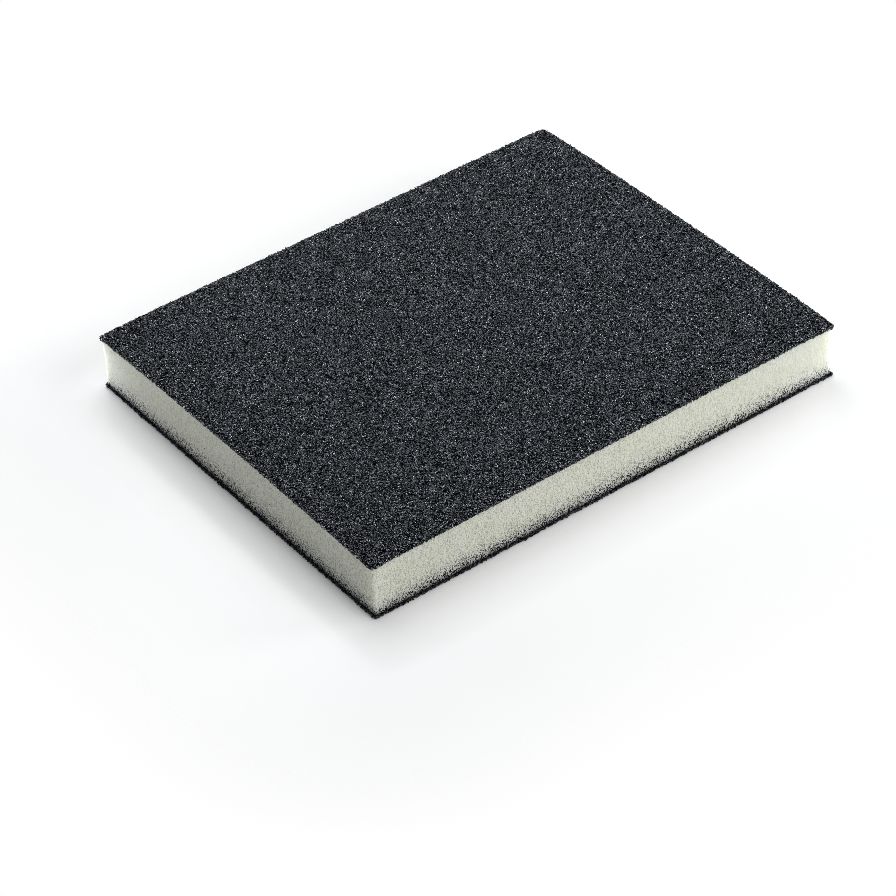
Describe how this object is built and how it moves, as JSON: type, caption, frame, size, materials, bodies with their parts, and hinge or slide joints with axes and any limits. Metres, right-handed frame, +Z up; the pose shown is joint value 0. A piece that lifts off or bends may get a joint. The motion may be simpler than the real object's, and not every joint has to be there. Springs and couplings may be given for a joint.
{
  "type": "sanding block",
  "caption": "Flexible rectangular foam sanding block with a dark abrasive coat bonded to both broad faces and bare foam sides.",
  "frame": {"origin": "centre of the lower abrasive face, which the block rests on", "axes": "+X along the long side, +Y along the short side, +Z up, out of the upper abrasive face"},
  "size_m": [0.12, 0.098, 0.0137],
  "materials": {
    "foam": "matte",
    "make_resin": "satin",
    "abrasive_grit": "satin",
    "size_resin": "satin"
  },
  "bodies": {
    "base": {"lower_size_coat": "size_resin", "lower_grit_layer": "abrasive_grit", "lower_make_coat": "make_resin", "foam_core": "foam"},
    "press_face": {"upper_make_coat": "make_resin", "upper_grit_layer": "abrasive_grit", "upper_size_coat": "size_resin"}
  },
  "joints": [
    {"name": "foam_press", "type": "slide", "parent": "base", "child": "press_face", "axis": [0, 0, -1], "range_m": [0, 0.006], "stiffness_N_per_m": 1500, "deforming": ["foam_core"]}
  ]
}
